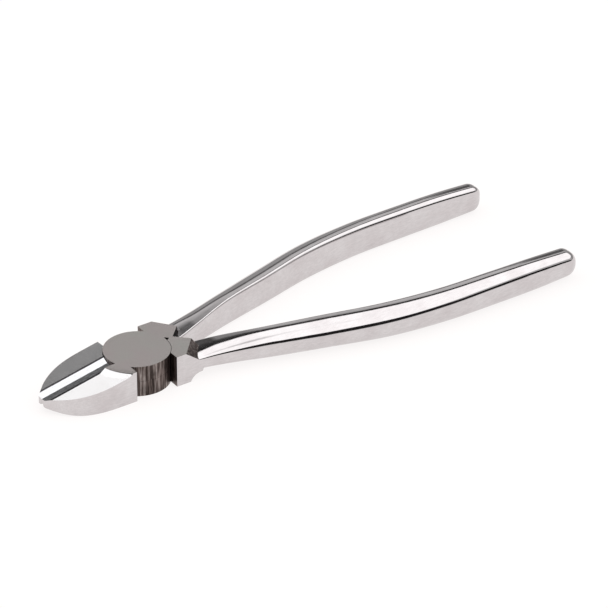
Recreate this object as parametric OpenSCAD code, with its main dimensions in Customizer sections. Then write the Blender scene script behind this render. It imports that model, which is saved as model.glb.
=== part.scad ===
// Bare-steel diagonal nippers: two forged halves lapped over each other and one flush rivet.
// The jaws point along -X and the handles along +X. The pivot axis is Z, and the underside of the
// joint is the plane z = 0. Every half is modelled about the lap plane and lifted at the end.

/* [Joint] */
// Radius of the round lap disc of each half
disc_r = 10.6; // [9:0.1:12]
// Thickness of the joint, both halves together
joint_t = 10.6; // [8:0.1:13]
// Radial gap between a disc and the half that wraps around it
disc_gap = 0.15; // [0.1:0.01:0.3]
// Gap between the two lapped faces
lap_gap = 0.06; // [0.02:0.01:0.1]
// Chamfer round the rim of each disc
disc_chamfer = 0.35; // [0.1:0.05:0.6]

/* [Rivet] */
// Radius of the rivet shank
rivet_r = 3.4; // [2.5:0.1:4]
// Radius of the coned rivet heads at the faces of the joint
rivet_head_r = 5.0; // [4.5:0.1:6]
// Depth of each coned head
rivet_head_h = 1.6; // [1:0.1:2.5]
// Radial running gap of the rivet in the lower half
rivet_gap = 0.04; // [0.02:0.01:0.08]

/* [Jaws] */
// Reach of the jaw tips in front of the pivot
tip_x = 34.6; // [28:0.1:38]
// Widest half width of the closed jaws
jaw_w = 11.3; // [10.8:0.1:12.5]
// Distance from the pivot to the rear wall of the jaws
jaw_rear_x = 7.2; // [6.5:0.1:8]
// Downward slope of the cutting face towards the tips, in degrees
jaw_slope = 11; // [8:0.5:14]
// Fall of the face from the bevel to the outer edge, in degrees
face_fall = 3; // [0:0.5:6]
// Width of the bevel beside each cutting edge
bevel_w = 3.05; // [2:0.05:4]
// Depth of the valley that the two bevels form
bevel_d = 0.45; // [0.2:0.05:1]
// Gap between the closed cutting edges
edge_gap = 0.04; // [0.02:0.01:0.1]
// Radius of the collar in front of the upper disc
collar_r = 13.6; // [12:0.1:15]
// Fall of the collar outside the disc, in degrees
collar_fall = 13; // [8:1:18]
// Radius that turns the underside of the jaws up to the tips
nose_r = 24.6; // [18:0.1:30]

/* [Shoulders] */
// Distance from the pivot to the front wall of the shoulders
shoulder_x = 7.5; // [7:0.1:8.5]
// Half width over the shoulders
shoulder_w = 11.2; // [10.8:0.1:12]
// Distance from the pivot to the outer corner of the shoulder's flat
shoulder_end_x = 12.6; // [11.5:0.1:13.5]
// Distance from the pivot to the inner corner of the shoulder's flat
shoulder_toe_x = 17.2; // [16:0.1:18]
// Radius of the scoop between the shoulder and the handle
scoop_r = 3.4; // [3:0.1:4]

/* [Handles] */
// Reach of the handle ends behind the pivot
handle_x = 150; // [145:0.1:165]
// Fullness of the round back: 2 is an ellipse, more is squarer
back_fullness = 2.4; // [2:0.1:3]
// Fullness of the nearly flat inner face, on the same scale
inner_fullness = 5; // [4:0.5:8]
// Length over which the handle end rounds off
end_round = 4; // [3:0.5:8]

/* [Hidden] */

$fn = 96;
half_t = joint_t / 2;
steel = [0.74, 0.73, 0.72];
ground_steel = [0.60, 0.58, 0.57];
beyond = 40;

// Where the jaws are widest, how far their curve would run, and how fast it closes
belly_x = 13;
jaw_run = 23;
jaw_taper = 2.64;

// Where the flat of the joint starts to fall towards the tips
face_x = -7;
relief_land = 0.35;
relief_angle = 27;
relief_end_x = -14.5;

// Inner corner of the shoulder's flat, and the depth and length of the scoop behind it
shoulder_toe_y = 5.2;
scoop_d = 2.5;
scoop_length = 30;

// Handle from root to end: x, inner face, width, half height and bulge of the inner face
stations = [
    [11.5, 0.9, 10.3, 2.7, 0.5],
    [16, 1.5, 9.8, 2.6, 0.6],
    [26, 4.5, 8.8, 3.6, 0.8],
    [40, 9.4, 7.8, 4.6, 1.1],
    [58, 14.0, 8.5, 4.95, 1.5],
    [78, 19.2, 8.4, 5.25, 1.9],
    [98, 21.9, 7.9, 5.29, 2.4],
    [118, 22.5, 7.5, 5.25, 2.8],
    [134, 22.6, 7.3, 5.05, 3.1],
    [handle_x, 22.4, 7.1, 4.3, 3.3]
];
last_station = len(stations) - 1;
ring_step = 4.5;
ring_points = 40;
end_steps = 8;

// Slope of one column of the stations at station i
function grade(i, c) =
    let (a = max(i - 1, 0), b = min(i + 1, last_station))
    (stations[b][c] - stations[a][c]) / (stations[b][0] - stations[a][0]);

// Station that starts the stretch which holds x
function stretch(x, i = 0) =
    i >= last_station - 1 || x < stations[i + 1][0] ? i : stretch(x, i + 1);

// Smooth value of one column of the stations at x
function along(x, c) =
    let (
        i = stretch(x),
        run = stations[i + 1][0] - stations[i][0],
        t = (x - stations[i][0]) / run
    )
    (2 * t^3 - 3 * t^2 + 1) * stations[i][c]
        + (t^3 - 2 * t^2 + t) * run * grade(i, c)
        + (3 * t^2 - 2 * t^3) * stations[i + 1][c]
        + (t^3 - t^2) * run * grade(i + 1, c);

// Share of the full section that is left at x, falling to nearly nothing at the handle's end
function end_share(x) =
    let (u = max(0, (x - handle_x + end_round) / end_round))
    sqrt(1 - pow(u, 2));

function signed_pow(v, e) = sign(v) * pow(abs(v), e);

// Closed ring of points at x, with a round back and a nearly flat inner face
function handle_ring(x) =
    let (
        share = end_share(x),
        w = along(x, 2),
        bulge = along(x, 4),
        y = along(x, 1) + w / 2 + (bulge - w / 2) * share
    )
    [for (k = [0:ring_points - 1])
        let (
            a = -90 + 360 * k / ring_points,
            is_back = cos(a) > 0,
            e = 2 / (is_back ? back_fullness : inner_fullness)
        )
        [x, y + (is_back ? w - bulge : bulge) * share * signed_pow(cos(a), e),
            along(x, 3) * share * signed_pow(sin(a), e)]];

ring_xs = let (body_end = handle_x - end_round, n = round((body_end - stations[0][0]) / ring_step))
    concat(
        [for (k = [0:n]) stations[0][0] + (body_end - stations[0][0]) * k / n],
        [for (k = [1:end_steps]) body_end + end_round * sin(88 * k / end_steps)]
    );

// Solid through a list of rings that all have the same number of points
module sweep(rings) {
    m = len(rings[0]);
    n = len(rings);
    polyhedron(
        points = [for (ring = rings) each ring],
        faces = concat(
            [[for (k = [0:m - 1]) k]],
            [for (r = [0:n - 2], k = [0:m - 1]) let (k2 = (k + 1) % m)
                each [[r * m + k, (r + 1) * m + k, r * m + k2],
                      [r * m + k2, (r + 1) * m + k, (r + 1) * m + k2]]],
            [[for (k = [m - 1:-1:0]) (n - 1) * m + k]]
        )
    );
}

// Half width of the closed jaws at the distance x in front of the pivot
function jaw_half_width(x) =
    x < belly_x ? jaw_w : jaw_w * (1 - pow((x - belly_x) / jaw_run, jaw_taper));

// Plan of the jaw on the +Y side, from the rear wall to the tip
module jaw_plan() {
    outline_step = 1.2;
    steps = round((tip_x - belly_x) / outline_step);
    polygon(concat(
        [[-tip_x, edge_gap / 2], [-belly_x + outline_step, edge_gap / 2], [0, edge_gap / 2]],
        [[-jaw_rear_x, disc_r / 2], [-jaw_rear_x, jaw_w - 0.2]],
        [for (k = [0:steps]) let (x = belly_x + (tip_x - belly_x) * k / steps)
            [-x, jaw_half_width(x)]]
    ));
}

// Side view of the jaw in X and Z: flat underside that turns up to the tip
module jaw_side() {
    nose_x = -(tip_x - sqrt(nose_r^2 - (nose_r - 2.4)^2));
    steps = 8;
    turn = asin((tip_x + nose_x) / nose_r);
    polygon(concat(
        [[0, half_t], [-tip_x, half_t]],
        [for (k = [steps:-1:0]) let (a = turn * k / steps)
            [nose_x - nose_r * sin(a), -half_t + nose_r * (1 - cos(a))]],
        [[0, -half_t]]
    ));
}

// Everything above the sloped cutting face of the +Y jaw, with its bevel and its outward fall
module above_face() {
    face_z = half_t - 0.1;
    translate([face_x, 0, face_z])
        rotate([0, -jaw_slope, 0])
        rotate([90, 0, -90])
        linear_extrude(height = beyond)
        polygon([
            [1, -bevel_d], [0, -bevel_d], [-bevel_w, 0],
            [-jaw_w - 3, -(jaw_w + 3 - bevel_w) * tan(face_fall)], [-jaw_w - 3, beyond], [1, beyond]
        ]);
}

// Hollow under the cutting edge of the +Y jaw
module below_edge() {
    face_z = half_t - 0.1 - bevel_d - relief_land;
    reach = beyond * tan(relief_angle);
    intersection() {
        translate([face_x, 0, face_z])
            rotate([0, -jaw_slope, 0])
            rotate([90, 0, -90])
            linear_extrude(height = beyond)
            polygon([[1, 0], [0, 0], [-reach, -beyond], [1, -beyond]]);
        translate([relief_end_x - beyond, -beyond / 2, -beyond / 2]) cube(beyond);
    }
}

// Collar in front of the disc: flat as far as the rim, then gently coned
module joint_collar() {
    intersection() {
        cylinder(r = collar_r, h = 3 * joint_t, center = true);
        translate([0, 0, -joint_t])
            cylinder(r1 = disc_r + 0.6 + (joint_t + half_t) / tan(collar_fall), r2 = disc_r + 0.6,
                     h = joint_t + half_t);
    }
}

// Jaw on the +Y side at full thickness
module jaw(collar) {
    difference() {
        intersection() {
            translate([0, 0, -half_t]) linear_extrude(height = joint_t) jaw_plan();
            rotate([90, 0, 0]) translate([0, 0, -beyond / 2]) linear_extrude(height = beyond) jaw_side();
        }
        difference() {
            above_face();
            if (collar) joint_collar();
        }
        below_edge();
    }
}

// Plan of the shoulder on the +Y side, carried on under the scoops
module shoulder_plan() {
    polygon([
        [shoulder_x, 2], [shoulder_x, shoulder_w], [shoulder_end_x + 4.4, shoulder_w],
        [shoulder_toe_x + 2.4, shoulder_toe_y + 1.2], [shoulder_toe_x - 0.8, 3], [10.4, 1.2]
    ]);
}

// Bar that cuts the scoop between the shoulder's flat and the handle, above (1) or below (-1)
module scoop(side) {
    slant = atan2(shoulder_toe_y - shoulder_w, shoulder_toe_x - shoulder_end_x);
    wall = sqrt(scoop_r^2 - (scoop_r - scoop_d)^2);
    translate([shoulder_end_x, shoulder_w, side * (half_t - scoop_d + scoop_r)])
        rotate([0, 0, slant + 90])
        rotate([90, 0, 0])
        translate([wall, 0, -scoop_length / 2])
        linear_extrude(height = scoop_length) {
            circle(r = scoop_r);
            translate([0, -scoop_r]) square([scoop_length, 2 * scoop_r]);
        }
}

// Shoulder on the +Y side at full thickness, scooped down to the handle above and below
module shoulder() {
    difference() {
        translate([0, 0, -half_t]) linear_extrude(height = joint_t) shoulder_plan();
        for (side = [-1, 1]) scoop(side);
    }
}

module handle() {
    sweep([for (x = ring_xs) handle_ring(x)]);
}

// Children mirrored through the lap plane or the tool's upright middle plane when side is -1
module mirrored_z(side) {
    mirror([0, 0, side < 0 ? 1 : 0]) children();
}
module mirrored_y(side) {
    mirror([0, side < 0 ? 1 : 0, 0]) children();
}

// Room for the disc of the other half, which lies below the lap plane
module other_disc() {
    translate([0, 0, -joint_t]) cylinder(r = disc_r + disc_gap, h = joint_t + lap_gap / 2);
}

// Lap disc above the lap plane, with a chamfered rim
module disc() {
    rotate_extrude()
        polygon([
            [0, lap_gap / 2], [disc_r, lap_gap / 2], [disc_r, half_t - disc_chamfer],
            [disc_r - disc_chamfer, half_t], [0, half_t]
        ]);
}

// One half: 1 has the upper disc, the -Y jaw and the +Y handle, and -1 the other three
module forging(side) {
    union() {
        mirrored_z(side) disc();
        difference() {
            union() {
                mirrored_y(-side) jaw(collar = side > 0);
                mirrored_y(side) shoulder();
            }
            mirrored_z(side) other_disc();
        }
        mirrored_y(side) handle();
    }
}

// Rivet shape about the lap plane, grown by a gap
module rivet(gap) {
    face = half_t - 0.02 + gap / 2;
    rotate_extrude()
        polygon([
            [0, -face], [rivet_head_r + gap, -face], [rivet_r + gap, -half_t + rivet_head_h],
            [rivet_r + gap, half_t - rivet_head_h], [rivet_head_r + gap, face], [0, face]
        ]);
}

module upper_half() {
    color(steel)
        translate([0, 0, half_t])
        difference() {
            forging(1);
            rivet(0);
        }
}

module lower_half() {
    color(ground_steel)
        translate([0, 0, half_t])
        difference() {
            forging(-1);
            rivet(rivet_gap);
        }
}

module pivot_rivet() {
    color("dimgray")
        translate([0, 0, half_t])
        rivet(0);
}

upper_half();
lower_half();
pivot_rivet();
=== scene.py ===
import math

import bmesh
import bpy
from mathutils import Matrix, Vector


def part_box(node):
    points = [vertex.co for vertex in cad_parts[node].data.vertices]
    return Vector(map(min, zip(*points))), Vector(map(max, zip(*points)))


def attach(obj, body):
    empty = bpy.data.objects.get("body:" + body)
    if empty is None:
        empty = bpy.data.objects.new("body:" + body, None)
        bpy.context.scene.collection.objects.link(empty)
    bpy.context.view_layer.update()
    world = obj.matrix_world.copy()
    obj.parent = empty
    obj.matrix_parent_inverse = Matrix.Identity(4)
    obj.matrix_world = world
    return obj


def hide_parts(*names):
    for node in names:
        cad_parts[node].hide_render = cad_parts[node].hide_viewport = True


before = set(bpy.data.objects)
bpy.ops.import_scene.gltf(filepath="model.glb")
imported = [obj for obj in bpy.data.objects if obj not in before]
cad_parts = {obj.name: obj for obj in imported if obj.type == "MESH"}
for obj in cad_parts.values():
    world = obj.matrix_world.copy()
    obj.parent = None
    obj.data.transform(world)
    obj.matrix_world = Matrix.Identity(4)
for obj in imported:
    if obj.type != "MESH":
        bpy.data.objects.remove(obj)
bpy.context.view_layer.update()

# The forgings are shaped in millimetres about the lap plane, then scaled and lifted to their place
MM = 0.001
UPPER_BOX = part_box("upper_half")
RIVET_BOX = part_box("pivot_rivet")
LAP_Z = (UPPER_BOX[0].z + UPPER_BOX[1].z) / 2
HALF_T = (UPPER_BOX[1].z - UPPER_BOX[0].z) / 2 / MM
TIP_X = -UPPER_BOX[0].x / MM
HANDLE_X = UPPER_BOX[1].x / MM

# Joint
DISC_R = 10.6
DISC_GAP = 0.15
LAP_GAP = 0.03
RIVET_HEAD_R = RIVET_BOX[1].x / MM
RIVET_HEAD_H = 1.6
RIVET_SHANK_R = 3.4
SEAT_SKIN = 0.05
SEAT_EXTRA = 0.02

# Jaws
BELLY_X = 13
JAW_RUN = 23
JAW_TAPER = 2.64
JAW_W = 11.3
JAW_REAR_X = 7.2
EDGE_GAP = 0.02
NOSE_X = 24
NOSE_R = 24.6
FACE_X = -7
FACE_Z = HALF_T - 0.1
FACE_SLOPE = math.radians(11)
FACE_FALL = math.radians(3)
BEVEL_W = 3.05
BEVEL_D = 0.45
RELIEF_LAND = 0.35
RELIEF_ANGLE = math.radians(27)
RELIEF_END_X = -14.5
EDGE_TURN_R = 4.5
COLLAR_FLAT = 0.6
COLLAR_R = 14.2
COLLAR_FALL = math.radians(2.5)
COLLAR_LIP = 0.5
COLLAR_LEAN = 0.15
COLLAR_FOOT = 1.3
COLLAR_OPEN_Y = BEVEL_W + 0.37
# Ring about the collar's radius, inside and outside it, where the step keeps its crisp edges
STEP_INSIDE = 0.6
STEP_OUTSIDE = 3

# Shoulders
SHOULDER_X = 7.5
SHOULDER_W = 11.2
SHOULDER_END_X = 12.6
SHOULDER_TOE = Vector((17.2, 5.2, 0))
SHOULDER_BLANK_X = 20
CROTCH = [(16.4, 3), (10.4, 1.2), (SHOULDER_X, 2)]
SCOOP_R = 3.4
SCOOP_D = 2.5
ROOT_EDGE = Vector((11.4, 10.7, -HALF_T))
ROOT_TURN = math.radians(42.6)
ROOT_FALL = math.radians(46)
ROOT_NORMAL = Vector((math.sin(ROOT_FALL) * math.cos(ROOT_TURN), math.sin(ROOT_FALL) * math.sin(ROOT_TURN),
                      -math.cos(ROOT_FALL)))

# Extra height of the blanks, which the final facing of both sides takes off
STOCK = 1
# How far the cutting tools reach, well past the blanks
TOOL_REACH = 30
# Sides of round bodies, and cuts that shape a curved outline
ROUND_STEPS = 224
SCOOP_STEPS = 128
OUTLINE_CUTS = 30
NOSE_CUTS = 14
# Rough blocks for the jaws' cuts, well past a jaw on every side
UNDER_FACE_LOW = (-60, -30, -40)
UNDER_FACE_HIGH = (40, 60, 40)
RELIEF_LOW = (-50, -5, -40)
# Distance within which corners are merged
MERGE = 0.004

# Handle from root to end: x, inner face, width, half height, bulge of the inner face and fullness
# of the back
STATIONS = [
    (11.5, 0.9, 10.3, 2.7, 0.5, 6.0),
    (16, 1.5, 9.8, 2.6, 0.6, 5.0),
    (26, 4.5, 8.8, 3.6, 0.8, 3.4),
    (40, 9.4, 7.8, 4.6, 1.1, 2.6),
    (58, 14.0, 8.5, 4.95, 1.5, 2.4),
    (78, 19.2, 8.4, 5.25, 1.9, 2.4),
    (98, 21.9, 7.9, 5.29, 2.4, 2.4),
    (118, 22.5, 7.5, 5.25, 2.8, 2.4),
    (134, 22.6, 7.3, 5.05, 3.1, 2.4),
    (HANDLE_X, 22.4, 7.1, 4.3, 3.3, 2.4),
]
INNER_FULLNESS = 4
END_ROUND = 4
END_STEPS = 12
END_TURN = 88
RING_STEP = 2.0
RING_POINTS = 112

# Rounding of every worked edge, and how sharp a corner is before it counts as one
EDGE_R = 0.22
EDGE_ANGLE = math.radians(32)
SMOOTH_ANGLE = math.radians(31)


# ---------------------------------------------------------------- bench tools

def select_none():
    bpy.ops.object.select_all(action="DESELECT")


def only(obj):
    select_none()
    obj.select_set(True)
    bpy.context.view_layer.objects.active = obj


def edit(obj):
    only(obj)
    bpy.ops.object.mode_set(mode="EDIT")
    bpy.ops.mesh.select_all(action="SELECT")


def leave_edit():
    bpy.ops.object.mode_set(mode="OBJECT")


def placed(name):
    """The primitive that was just added, with its size and place put into its mesh."""
    obj = bpy.context.object
    obj.name = name
    bpy.ops.object.transform_apply(location=True, rotation=True, scale=True)
    return obj


def block(name, low, high):
    low, high = Vector(low), Vector(high)
    select_none()
    bpy.ops.mesh.primitive_cube_add(size=1, location=(low + high) / 2, scale=high - low)
    return placed(name)


def round_bar(name, radius, low, high, top_radius=None):
    """Upright round bar, or a cone when its top has another radius."""
    select_none()
    bpy.ops.mesh.primitive_cone_add(vertices=ROUND_STEPS, radius1=radius, radius2=top_radius or radius,
                                    depth=high - low, location=(0, 0, (low + high) / 2))
    return placed(name)


def turned(name, profile):
    """Body turned about the pivot from a profile of (radius, height) that starts and ends on the axis."""
    mesh = bpy.data.meshes.new(name)
    mesh.from_pydata([(r, 0, z) for r, z in profile], [(k, k + 1) for k in range(len(profile) - 1)], [])
    obj = bpy.data.objects.new(name, mesh)
    bpy.context.scene.collection.objects.link(obj)
    edit(obj)
    bpy.ops.mesh.spin(steps=ROUND_STEPS, angle=math.tau, center=(0, 0, 0), axis=(0, 0, 1))
    bpy.ops.mesh.select_all(action="SELECT")
    bpy.ops.mesh.remove_doubles(threshold=0.001)
    bpy.ops.mesh.normals_make_consistent(inside=False)
    leave_edit()
    return obj


def slice_off(obj, point, normal):
    """Saws off everything on the normal's side of a plane, and closes the cut."""
    edit(obj)
    bpy.ops.mesh.bisect(plane_co=point, plane_no=normal, use_fill=True, clear_outer=True)
    leave_edit()


def boolean(obj, other, operation):
    only(obj)
    mod = obj.modifiers.new("join", "BOOLEAN")
    mod.operation = operation
    mod.solver = "EXACT"
    mod.object = other
    bpy.ops.object.modifier_apply(modifier=mod.name)
    bpy.data.objects.remove(other)


def clean(obj):
    """Merges doubles, joins faces that lie in one plane and turns all faces outwards."""
    edit(obj)
    bpy.ops.mesh.remove_doubles(threshold=MERGE)
    bpy.ops.mesh.dissolve_limited(angle_limit=math.radians(0.2))
    bpy.ops.mesh.dissolve_degenerate(threshold=MERGE)
    bpy.ops.mesh.delete_loose()
    bpy.ops.mesh.normals_make_consistent(inside=False)
    leave_edit()


def mirrored(obj, axis):
    obj.data.transform(Matrix.Scale(-1, 4, axis))
    edit(obj)
    bpy.ops.mesh.normals_make_consistent(inside=False)
    leave_edit()


# ---------------------------------------------------------------- handle

def grade(i, c):
    a, b = max(i - 1, 0), min(i + 1, len(STATIONS) - 1)
    return (STATIONS[b][c] - STATIONS[a][c]) / (STATIONS[b][0] - STATIONS[a][0])


def along(x, c):
    """Smooth value of one column of the stations at x."""
    i = 0
    while i < len(STATIONS) - 2 and x >= STATIONS[i + 1][0]:
        i += 1
    run = STATIONS[i + 1][0] - STATIONS[i][0]
    t = (x - STATIONS[i][0]) / run
    return ((2 * t**3 - 3 * t**2 + 1) * STATIONS[i][c]
            + (t**3 - 2 * t**2 + t) * run * grade(i, c)
            + (3 * t**2 - 2 * t**3) * STATIONS[i + 1][c]
            + (t**3 - t**2) * run * grade(i + 1, c))


def power(v, e):
    return math.copysign(abs(v) ** e, v)


def handle_ring(x):
    """Section at x with a round back and a nearly flat inner face, and rounder towards the end."""
    share = math.sqrt(1 - max(0.0, (x - HANDLE_X + END_ROUND) / END_ROUND) ** 2)
    inner, width, height, bulge, fullness = [along(x, c) for c in range(1, 6)]
    middle = inner + width / 2 + (bulge - width / 2) * share
    ring = []
    for k in range(RING_POINTS):
        a = math.radians(-90 + 360 * k / RING_POINTS)
        at_back = math.cos(a) > 1e-9
        e = 2 / (fullness if at_back else INNER_FULLNESS)
        reach = width - bulge if at_back else bulge
        across = middle + reach * share * power(math.cos(a), e)
        ring.append((x, across, height * share * power(math.sin(a), e)))
    return ring


def handle():
    start, stop = STATIONS[0][0], HANDLE_X - END_ROUND
    n = round((stop - start) / RING_STEP)
    xs = [start + (stop - start) * k / n for k in range(n + 1)]
    turns = [math.radians(END_TURN * k / END_STEPS) for k in range(1, END_STEPS + 1)]
    xs += [stop + END_ROUND * math.sin(turn) for turn in turns]
    bm = bmesh.new()
    rings = [[bm.verts.new(p) for p in handle_ring(x)] for x in xs]
    for a, b in zip(rings, rings[1:]):
        for k in range(RING_POINTS):
            bm.faces.new((a[k - 1], a[k], b[k], b[k - 1]))
    bm.faces.new(rings[0])
    bm.faces.new(rings[-1])
    bmesh.ops.recalc_face_normals(bm, faces=bm.faces)
    mesh = bpy.data.meshes.new("handle")
    bm.to_mesh(mesh)
    bm.free()
    obj = bpy.data.objects.new("handle", mesh)
    bpy.context.scene.collection.objects.link(obj)
    return obj


# ---------------------------------------------------------------- shoulder

def scoop(obj):
    """Round-bottomed cut behind the shoulder's flat."""
    corner = Vector((SHOULDER_END_X, SHOULDER_W, 0))
    edge = (SHOULDER_TOE - corner).normalized()
    out = Vector((-edge.y, edge.x, 0))
    wall = math.sqrt(SCOOP_R**2 - (SCOOP_R - SCOOP_D) ** 2)
    centre = corner + out * wall + Vector((0, 0, HALF_T - SCOOP_D + SCOOP_R))
    place = Matrix.Translation(centre) @ Matrix((edge, out, edge.cross(out))).transposed().to_4x4()
    select_none()
    bpy.ops.mesh.primitive_cylinder_add(vertices=SCOOP_STEPS, radius=SCOOP_R, depth=2 * TOOL_REACH,
                                        rotation=(0, math.radians(90), 0))
    bar = placed("scoop_bar")
    room = block("scoop_room", (-TOOL_REACH, 0, -SCOOP_R), (TOOL_REACH, TOOL_REACH, SCOOP_R))
    for tool in (bar, room):
        tool.data.transform(place)
        boolean(obj, tool, "DIFFERENCE")


def shoulder():
    """Shoulder, disc face up, with a scoop above and a steep slope to the handle on the lap side."""
    plan = [(SHOULDER_END_X + 4.4, SHOULDER_W), (SHOULDER_TOE.x + 2.4, SHOULDER_TOE.y + 1.2), *CROTCH]
    high = (SHOULDER_BLANK_X, SHOULDER_W, HALF_T + STOCK)
    obj = block("shoulder", (SHOULDER_X, 0, -HALF_T - STOCK), high)
    for (x1, y1), (x2, y2) in zip(plan, plan[1:]):
        slice_off(obj, (x1, y1, 0), Vector((y1 - y2, x2 - x1, 0)))
    slice_off(obj, ROOT_EDGE, ROOT_NORMAL)
    scoop(obj)
    return obj


# ---------------------------------------------------------------- jaw

def jaw_width(x):
    return JAW_W * (1 - (max(x - BELLY_X, 0) / JAW_RUN) ** JAW_TAPER)


def jaw_blank():
    """Jaw at full thickness: tapered plan, and an underside that turns up to the tip."""
    obj = block("jaw", (-TIP_X, EDGE_GAP, -HALF_T - STOCK), (-JAW_REAR_X, JAW_W, HALF_T + STOCK))
    for k in range(OUTLINE_CUTS):
        x = BELLY_X + (TIP_X - BELLY_X) * (k + 0.5) / OUTLINE_CUTS
        grow = (jaw_width(x + 0.01) - jaw_width(x - 0.01)) / 0.02
        slice_off(obj, (-x, jaw_width(x), 0), Vector((grow, 1, 0)))
    turn = math.asin((TIP_X - NOSE_X) / NOSE_R)
    for k in range(NOSE_CUTS):
        a = turn * (k + 0.5) / NOSE_CUTS
        point = (-NOSE_X - NOSE_R * math.sin(a), 0, -HALF_T + NOSE_R * (1 - math.cos(a)))
        slice_off(obj, point, Vector((-math.sin(a), 0, -math.cos(a))))
    return obj


ON_FACE = Matrix.Translation((FACE_X, 0, FACE_Z)) @ Matrix.Rotation(-FACE_SLOPE, 4, "Y")
FACE_NORMAL = ON_FACE.to_3x3() @ Vector((0, math.sin(FACE_FALL), math.cos(FACE_FALL)))
BEVEL_NORMAL = (ON_FACE.to_3x3() @ Vector((0, -BEVEL_D, BEVEL_W))).normalized()


def relief():
    """Wedge of air under the cutting edge."""
    top = -BEVEL_D - RELIEF_LAND
    obj = block("relief", RELIEF_LOW, (20, TOOL_REACH, top))
    slice_off(obj, (0, 0, top), Vector((0, math.cos(RELIEF_ANGLE), math.sin(RELIEF_ANGLE))))
    obj.data.transform(ON_FACE)
    slice_off(obj, (RELIEF_END_X, 0, 0), Vector((1, 0, 0)))
    return obj


def collar():
    """Gently coned ring in front of the disc, with a lip and a flared foot, open at the cutting edge."""
    top_r = DISC_R + COLLAR_FLAT
    fall = math.tan(COLLAR_FALL)
    lip_z = HALF_T - COLLAR_LIP
    foot_r = COLLAR_R + COLLAR_FOOT * (lip_z + HALF_T)
    profile = [(0, -HALF_T), (foot_r, -HALF_T), (COLLAR_R + COLLAR_LEAN, lip_z),
               (COLLAR_R, HALF_T - (COLLAR_R - top_r) * fall), (0, HALF_T + top_r * fall)]
    obj = turned("collar", profile)
    slice_off(obj, (0, COLLAR_OPEN_Y, 0), (0, -1, 0))
    return obj


def under_face(with_collar):
    """All that lies under the sloped face and under its bevel, whose shared edge is rounded."""
    obj = block("under_face", UNDER_FACE_LOW, UNDER_FACE_HIGH)
    corner = ON_FACE @ Vector((0, BEVEL_W, 0))
    slice_off(obj, corner, FACE_NORMAL)
    slice_off(obj, corner, BEVEL_NORMAL)
    centre = corner - EDGE_TURN_R * (FACE_NORMAL + BEVEL_NORMAL) / (1 + FACE_NORMAL.dot(BEVEL_NORMAL))
    for share in (1 / 8, 3 / 8, 5 / 8, 7 / 8):
        normal = FACE_NORMAL.lerp(BEVEL_NORMAL, share).normalized()
        slice_off(obj, centre + EDGE_TURN_R * normal, normal)
    if with_collar:
        boolean(obj, collar(), "UNION")
    return obj


def jaw(with_collar):
    obj = jaw_blank()
    boolean(obj, under_face(with_collar), "INTERSECT")
    boolean(obj, relief(), "DIFFERENCE")
    return obj


# ---------------------------------------------------------------- forgings

def rivet_seat(level):
    """Coned hole that the rivet fills. A skin over the upper head keeps its ring from showing."""
    bottom = -HALF_T - SEAT_EXTRA
    top = HALF_T - SEAT_SKIN if level > 0 else HALF_T + SEAT_EXTRA
    obj = round_bar("seat", RIVET_SHANK_R, bottom, top)
    lower_head = round_bar("head", RIVET_HEAD_R, bottom, -HALF_T + RIVET_HEAD_H, RIVET_SHANK_R)
    boolean(obj, lower_head, "UNION")
    upper_head = round_bar("head", RIVET_SHANK_R, HALF_T - RIVET_HEAD_H, top, RIVET_HEAD_R)
    boolean(obj, upper_head, "UNION")
    return obj


def worked_edges(obj):
    """Marks the edges that are rounded: all corners but those inside the collar's step and those about the
    rivet seat.
    """
    mesh = obj.data
    bm = bmesh.new()
    bm.from_mesh(mesh)
    weight = bm.edges.layers.float.new("bevel_weight_edge")
    for edge in bm.edges:
        middle = (edge.verts[0].co + edge.verts[1].co) / 2
        past_collar = middle.xy.length - COLLAR_R
        in_step = middle.x < FACE_X and middle.z > 2 and -STEP_INSIDE < past_collar < STEP_OUTSIDE
        in_seat = middle.xy.length < RIVET_HEAD_R + 0.5
        if edge.is_manifold and edge.calc_face_angle() > EDGE_ANGLE and not in_step and not in_seat:
            edge[weight] = 1
    bm.to_mesh(mesh)
    bm.free()


def forging(name, level):
    """Level 1 has the upper disc, the -Y jaw and the +Y handle, and level -1 the other three."""
    obj = jaw(level > 0)
    if level > 0:
        mirrored(obj, (0, 1, 0))
    root = shoulder()
    bar = handle()
    if level < 0:
        mirrored(root, (0, 1, 0))
        mirrored(root, (0, 0, 1))
        mirrored(bar, (0, 1, 0))
    boolean(obj, root, "UNION")
    low, high = (-2 * HALF_T, LAP_GAP) if level > 0 else (-LAP_GAP, 2 * HALF_T)
    boolean(obj, round_bar("room", DISC_R + DISC_GAP, low, high), "DIFFERENCE")
    ends = sorted((level * LAP_GAP, level * (HALF_T + 2 * STOCK)))
    boolean(obj, round_bar("disc", DISC_R, ends[0], ends[1]), "UNION")
    boolean(obj, bar, "UNION")
    for side in (1, -1):
        slice_off(obj, (0, 0, side * HALF_T), (0, 0, side))
    boolean(obj, rivet_seat(level), "DIFFERENCE")
    obj.name = name
    obj.data.name = name
    clean(obj)
    worked_edges(obj)
    only(obj)
    rounding = obj.modifiers.new("edges", "BEVEL")
    rounding.width = EDGE_R
    rounding.segments = 3
    rounding.limit_method = "WEIGHT"
    bpy.ops.object.modifier_apply(modifier=rounding.name)
    return obj


# ---------------------------------------------------------------- finishes

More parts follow.
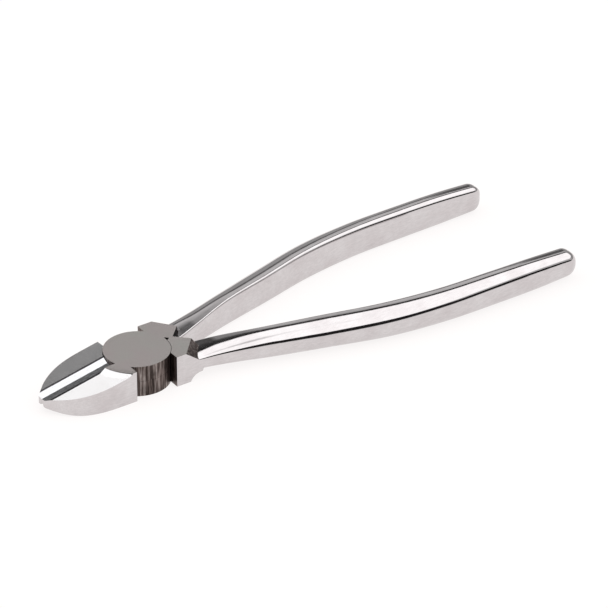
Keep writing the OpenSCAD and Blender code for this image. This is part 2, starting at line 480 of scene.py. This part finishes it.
class Finish:
    """One metal finish, with short calls for the nodes that it is made of."""

    def __init__(self, name):
        self.material = bpy.data.materials.new(name)
        self.material.use_nodes = True
        self.nodes = self.material.node_tree.nodes
        self.links = self.material.node_tree.links
        self.metal = self.nodes["Principled BSDF"]
        self.metal.inputs["Metallic"].default_value = 1.0
        self.place = self.nodes.new("ShaderNodeTexCoord").outputs["Object"]

    def link(self, a, b):
        self.links.new(a, b)

    def stretched(self, scale, turn=0.0):
        """Object coordinates with their own scale along each axis."""
        node = self.nodes.new("ShaderNodeMapping")
        node.inputs["Scale"].default_value = scale
        node.inputs["Rotation"].default_value = (0, 0, turn)
        self.link(self.place, node.inputs["Vector"])
        return node.outputs["Vector"]

    def noise(self, vector, scale, detail=3.0, roughness=0.5):
        node = self.nodes.new("ShaderNodeTexNoise")
        node.inputs["Scale"].default_value = scale
        node.inputs["Detail"].default_value = detail
        node.inputs["Roughness"].default_value = roughness
        self.link(vector, node.inputs["Vector"])
        return node.outputs["Fac"]

    def ramp(self, value, stops):
        """Colour or grey through a list of (position, colour) stops."""
        node = self.nodes.new("ShaderNodeValToRGB")
        elements = node.color_ramp.elements
        while len(elements) < len(stops):
            elements.new(0.5)
        for element, (position, colour) in zip(elements, stops):
            element.position = position
            element.color = (*colour, 1) if isinstance(colour, tuple) else (colour, colour, colour, 1)
        self.link(value, node.inputs["Fac"])
        return node.outputs["Color"]

    def shaded(self, a, b):
        """One colour multiplied by another."""
        node = self.nodes.new("ShaderNodeMix")
        node.data_type = "RGBA"
        node.blend_type = "MULTIPLY"
        node.inputs["Factor"].default_value = 1.0
        self.link(a, node.inputs[6])
        self.link(b, node.inputs[7])
        return node.outputs[2]

    def radius(self):
        """Distance from the pivot axis, as a vector along X."""
        split = self.nodes.new("ShaderNodeSeparateXYZ")
        flat = self.nodes.new("ShaderNodeCombineXYZ")
        length = self.nodes.new("ShaderNodeVectorMath")
        length.operation = "LENGTH"
        join = self.nodes.new("ShaderNodeCombineXYZ")
        self.link(self.place, split.inputs[0])
        self.link(split.outputs["X"], flat.inputs["X"])
        self.link(split.outputs["Y"], flat.inputs["Y"])
        self.link(flat.outputs[0], length.inputs[0])
        self.link(length.outputs["Value"], join.inputs["X"])
        return join.outputs[0]

    def bumps(self, *layers):
        """Bump from (height, depth in millimetres, strength) layers, one over the other."""
        normal = None
        for height, depth, strength in layers:
            node = self.nodes.new("ShaderNodeBump")
            node.inputs["Distance"].default_value = depth * MM
            node.inputs["Strength"].default_value = strength
            self.link(height, node.inputs["Height"])
            if normal:
                self.link(normal, node.inputs["Normal"])
            normal = node.outputs["Normal"]
        self.link(normal, self.metal.inputs["Normal"])

    def colour(self, socket):
        self.link(socket, self.metal.inputs["Base Color"])

    def gloss(self, socket):
        self.link(socket, self.metal.inputs["Roughness"])


def polished_steel():
    """Hand-buffed forging: clear reflections, with a slight ripple and a faint grain along the handle."""
    f = Finish("polished_steel")
    cloud = f.noise(f.stretched((1, 1, 1)), 160, 3)
    grain = f.noise(f.stretched((0.25, 1, 1), math.radians(12)), 1900, 4, 0.6)
    tint = f.ramp(cloud, [(0.3, (0.60, 0.565, 0.57)), (0.7, (0.66, 0.635, 0.64))])
    speck = f.ramp(grain, [(0.3, 0.90), (0.65, 1.0)])
    f.colour(f.shaded(tint, speck))
    f.gloss(f.ramp(grain, [(0.3, 0.045), (0.7, 0.10)]))
    f.bumps((cloud, 0.012, 0.4), (grain, 0.002, 0.3))
    return f.material


def ground_steel():
    """Flat faces of the joint, surface-ground: a satin grey with fine straight scratches."""
    f = Finish("ground_steel")
    cloud = f.noise(f.stretched((1, 1, 1)), 70, 2)
    scratch = f.noise(f.stretched((0.04, 1, 1), math.radians(35)), 5200, 3, 0.6)
    tint = f.ramp(cloud, [(0.36, (0.63, 0.565, 0.555)), (0.64, (0.61, 0.59, 0.56))])
    shade = f.ramp(scratch, [(0.3, 0.86), (0.7, 1.0)])
    f.colour(f.shaded(tint, shade))
    f.gloss(f.ramp(scratch, [(0.3, 0.15), (0.7, 0.24)]))
    f.bumps((scratch, 0.003, 0.4))
    return f.material


def honed_face():
    """Sloped cutting faces, honed after grinding."""
    f = Finish("honed_face")
    cloud = f.noise(f.stretched((1, 1, 1)), 110, 2)
    scratch = f.noise(f.stretched((1, 0.05, 1), math.radians(-20)), 4200, 3, 0.6)
    tint = f.ramp(cloud, [(0.3, (0.65, 0.64, 0.64)), (0.7, (0.71, 0.70, 0.705))])
    shade = f.ramp(scratch, [(0.3, 0.88), (0.7, 1.0)])
    f.colour(f.shaded(tint, shade))
    f.gloss(f.ramp(scratch, [(0.3, 0.10), (0.7, 0.17)]))
    f.bumps((scratch, 0.002, 0.4))
    return f.material


def cutting_bevel():
    """Narrow bevels beside the cutting edges, with the lines of the whetstone along them."""
    f = Finish("cutting_bevel")
    line = f.noise(f.stretched((0.02, 1, 1)), 2600, 2, 0.7)
    shade = f.ramp(line, [(0.35, (0.56, 0.56, 0.58)), (0.6, (0.70, 0.70, 0.72))])
    f.colour(shade)
    f.gloss(f.ramp(line, [(0.3, 0.07), (0.7, 0.14)]))
    f.bumps((line, 0.006, 0.5))
    return f.material


def painted_edge_reflection():
    """Painted dark reflection: a near-black colour on the rounded corner between a honed face and its
    bevel, in place of the dark line that this corner reflects.
    """
    f = Finish("painted_edge_reflection")
    patch = f.noise(f.stretched((1, 1, 1)), 900, 2)
    # Near-black base colour that paints in the dark reflection along the corner
    f.colour(f.ramp(patch, [(0.3, (0.035, 0.032, 0.036)), (0.7, (0.09, 0.085, 0.09))]))
    f.gloss(f.ramp(patch, [(0.3, 0.16), (0.7, 0.26)]))
    f.bumps((patch, 0.002, 0.3))
    return f.material


def scaled_recess():
    """Walls inside the joint, left dark from the forge and scored by the milling cutter."""
    f = Finish("scaled_recess")
    score = f.noise(f.stretched((1, 1, 0.06)), 1500, 3, 0.65)
    patch = f.noise(f.stretched((1, 1, 0.6)), 260, 3, 0.6)
    scale = f.ramp(score, [(0.36, (0.045, 0.034, 0.030)), (0.50, (0.16, 0.125, 0.115)),
                           (0.68, (0.42, 0.37, 0.35))])
    dirt = f.ramp(patch, [(0.35, 0.45), (0.62, 1.0)])
    f.colour(f.shaded(scale, dirt))
    f.gloss(f.ramp(patch, [(0.3, 0.30), (0.7, 0.48)]))
    f.bumps((score, 0.03, 0.8))
    return f.material


def turned_rivet():
    """Rivet ground flush with the disc, with faint rings about its middle."""
    f = Finish("turned_rivet")
    ring = f.noise(f.radius(), 4200, 2, 0.5)
    scratch = f.noise(f.stretched((0.04, 1, 1), math.radians(35)), 5200, 3, 0.6)
    tint = f.ramp(ring, [(0.3, (0.56, 0.53, 0.51)), (0.7, (0.60, 0.575, 0.55))])
    shade = f.ramp(scratch, [(0.3, 0.86), (0.7, 1.0)])
    f.colour(f.shaded(tint, shade))
    f.gloss(f.ramp(scratch, [(0.3, 0.16), (0.7, 0.25)]))
    f.bumps((ring, 0.002, 0.3), (scratch, 0.003, 0.4))
    return f.material


FINISHES = [polished_steel(), ground_steel(), honed_face(), cutting_bevel(), painted_edge_reflection(), scaled_recess()]
POLISHED, GROUND, HONED, BEVEL, LINE, RECESS = range(6)

# How closely a face has to point along a direction to count, as a cosine
ALIKE = 0.9998
LEVEL = 0.999
BETWEEN = 0.9965


def finish_of(centre, normal, level):
    """Which finish a face takes, from its place in millimetres and the way it points."""
    jaw_side = -level
    own = Vector((normal.x, normal.y * jaw_side, normal.z))
    radius = centre.xy.length
    if centre.x < FACE_X and own.dot(FACE_NORMAL) > ALIKE:
        return HONED
    if centre.x < FACE_X and own.dot(BEVEL_NORMAL) > ALIKE:
        return BEVEL
    # The rounded strip between face and bevel takes the painted dark reflection
    if centre.x < FACE_X and own.dot((FACE_NORMAL + BEVEL_NORMAL).normalized()) > BETWEEN:
        return LINE
    if abs(normal.z) > LEVEL and abs(centre.z) > HALF_T - 0.01:
        return GROUND
    if abs(normal.z) > LEVEL and abs(centre.z) < 2 * LAP_GAP:
        return GROUND
    if abs(normal.z) < 0.2 and DISC_R - 0.5 < radius < DISC_R + 0.5:
        return RECESS
    if centre.x < FACE_X and centre.z > 2 and radius > COLLAR_R - 0.4 and 0.3 < normal.z < 0.95:
        return HONED
    if Vector((normal.x, normal.y * level, normal.z * level)).dot(ROOT_NORMAL) > LEVEL:
        return RECESS
    if abs(centre.z) > HALF_T - 0.4 and radius < COLLAR_R and abs(normal.z) > 0.98:
        return GROUND
    if abs(normal.x) > 0.99 and (abs(centre.x - SHOULDER_X) < 0.05 or abs(centre.x + JAW_REAR_X) < 0.05):
        return RECESS
    return POLISHED


def dress(obj, level):
    """Finishes by face, crisp lines where two ground faces meet, and even shading over the rest."""
    mesh = obj.data
    mesh.materials.clear()
    for material in FINISHES:
        mesh.materials.append(material)
    zones = {}
    for face in mesh.polygons:
        face.material_index = finish_of(face.center, face.normal, level)
        for key in face.edge_keys:
            zones.setdefault(key, set()).add(face.material_index)
    only(obj)
    bpy.ops.object.shade_smooth_by_angle(angle=SMOOTH_ANGLE)
    sharp = mesh.attributes.get("sharp_edge") or mesh.attributes.new("sharp_edge", "BOOLEAN", "EDGE")
    for edge in mesh.edges:
        if {HONED, BEVEL} <= zones.get(edge.key, set()):
            sharp.data[edge.index].value = True
    even = obj.modifiers.new("even", "WEIGHTED_NORMAL")
    even.keep_sharp = True
    even.weight = 60
    bpy.ops.object.modifier_apply(modifier=even.name)
    mesh.transform(Matrix.Translation((0, 0, LAP_Z)) @ Matrix.Scale(MM, 4))


for name, level, body, node in (("upper_forging", 1, "upper", "upper_half"),
                                ("lower_forging", -1, "lower", "lower_half")):
    piece = forging(name, level)
    dress(piece, level)
    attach(piece, body)
    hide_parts(node)

rivet_finish = turned_rivet()
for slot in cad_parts["pivot_rivet"].material_slots:
    slot.material = rivet_finish


# ---------------------------------------------------------------- studio

VIEW_TURN = math.radians(-34.45)
VIEW_HEIGHT = math.radians(31.11)
VIEW_DISTANCE = 1.4231
AIM = Vector((0.0628, 0.0002, LAP_Z))
# Keeps the floor from lying in the same plane as the joint's underside
FLOOR_DROP = 0.0001


def floor():
    """Plain pale sweep, bright enough of itself that the tool casts only a breath of shadow."""
    select_none()
    bpy.ops.mesh.primitive_plane_add(size=8, location=(AIM.x, 0, -FLOOR_DROP))
    obj = placed("floor")
    material = bpy.data.materials.new("pale_floor")
    material.use_nodes = True
    paper = material.node_tree.nodes["Principled BSDF"]
    paper.inputs["Base Color"].default_value = (0.16, 0.157, 0.155, 1)
    paper.inputs["Roughness"].default_value = 1.0
    paper.inputs["Specular IOR Level"].default_value = 0
    paper.inputs["Emission Color"].default_value = (1.0, 0.975, 0.97, 1)
    paper.inputs["Emission Strength"].default_value = 0.85
    obj.data.materials.append(material)


def set_levels(ramp, stops):
    """Fills a colour ramp with (position, brightness) stops."""
    elements = ramp.color_ramp.elements
    while len(elements) < len(stops):
        elements.new(0.5)
    for element, (position, level) in zip(elements, stops):
        element.position = position
        element.color = (level, level, level, 1)


def studio_light():
    """Large overhead softbox with dark rims, in a grey room, as the light of the world."""
    world = bpy.data.worlds.new("studio")
    bpy.context.scene.world = world
    world.use_nodes = True
    nodes, links = world.node_tree.nodes, world.node_tree.links
    sky = nodes.new("ShaderNodeTexCoord").outputs["Generated"]
    split = nodes.new("ShaderNodeSeparateXYZ")
    links.new(sky, split.inputs[0])
    ahead = nodes.new("ShaderNodeVectorMath")
    ahead.operation = "DOT_PRODUCT"
    ahead.inputs[1].default_value = (-math.sin(VIEW_TURN), math.cos(VIEW_TURN), 0)
    links.new(sky, ahead.inputs[0])
    turn = nodes.new("ShaderNodeMath")
    turn.operation = "ARCTAN2"
    links.new(split.outputs["Z"], turn.inputs[0])
    links.new(ahead.outputs["Value"], turn.inputs[1])
    share = nodes.new("ShaderNodeMath")
    share.operation = "DIVIDE"
    share.inputs[1].default_value = math.pi
    links.new(turn.outputs[0], share.inputs[0])
    ramp = nodes.new("ShaderNodeValToRGB")
    # (degrees over the room from the far horizon, brightness)
    set_levels(ramp, [(degrees / 180, level) for degrees, level in (
        (0, 0.24), (23, 0.26), (25, 0.07), (28, 0.07), (30, 0.49), (35.5, 0.34), (38.3, 0.035), (45, 0.01),
        (46.5, 1.0), (143, 1.0), (144.5, 0.01), (177, 0.01), (178.5, 0.20), (180, 0.22))])
    links.new(share.outputs[0], ramp.inputs["Fac"])
    # The softbox ends above the horizon at the sides, and has a dimmer middle: (height, brightness)
    limit = nodes.new("ShaderNodeValToRGB")
    set_levels(limit, [(0, 0.30), (0.38, 0.42), (0.42, 1.0), (0.962, 1.0), (0.985, 0.45)])
    links.new(split.outputs["Z"], limit.inputs["Fac"])
    lower = nodes.new("ShaderNodeMix")
    lower.data_type = "RGBA"
    lower.blend_type = "DARKEN"
    lower.inputs["Factor"].default_value = 1.0
    links.new(ramp.outputs["Color"], lower.inputs[6])
    links.new(limit.outputs["Color"], lower.inputs[7])
    light = nodes["Background"]
    links.new(lower.outputs[2], light.inputs["Color"])
    light.inputs["Strength"].default_value = 1.62


def camera():
    data = bpy.data.cameras.new("camera")
    data.sensor_width = 36
    data.lens = 266.4
    obj = bpy.data.objects.new("camera", data)
    bpy.context.scene.collection.objects.link(obj)
    bpy.context.scene.camera = obj
    back = Vector((math.sin(VIEW_TURN) * math.cos(VIEW_HEIGHT),
                   -math.cos(VIEW_TURN) * math.cos(VIEW_HEIGHT), math.sin(VIEW_HEIGHT)))
    right = Vector((math.cos(VIEW_TURN), math.sin(VIEW_TURN), 0))
    obj.location = AIM + VIEW_DISTANCE * back
    obj.rotation_euler = Matrix((right, back.cross(right), back)).transposed().to_euler()


floor()
studio_light()
camera()
bpy.context.scene.view_settings.view_transform = "Standard"
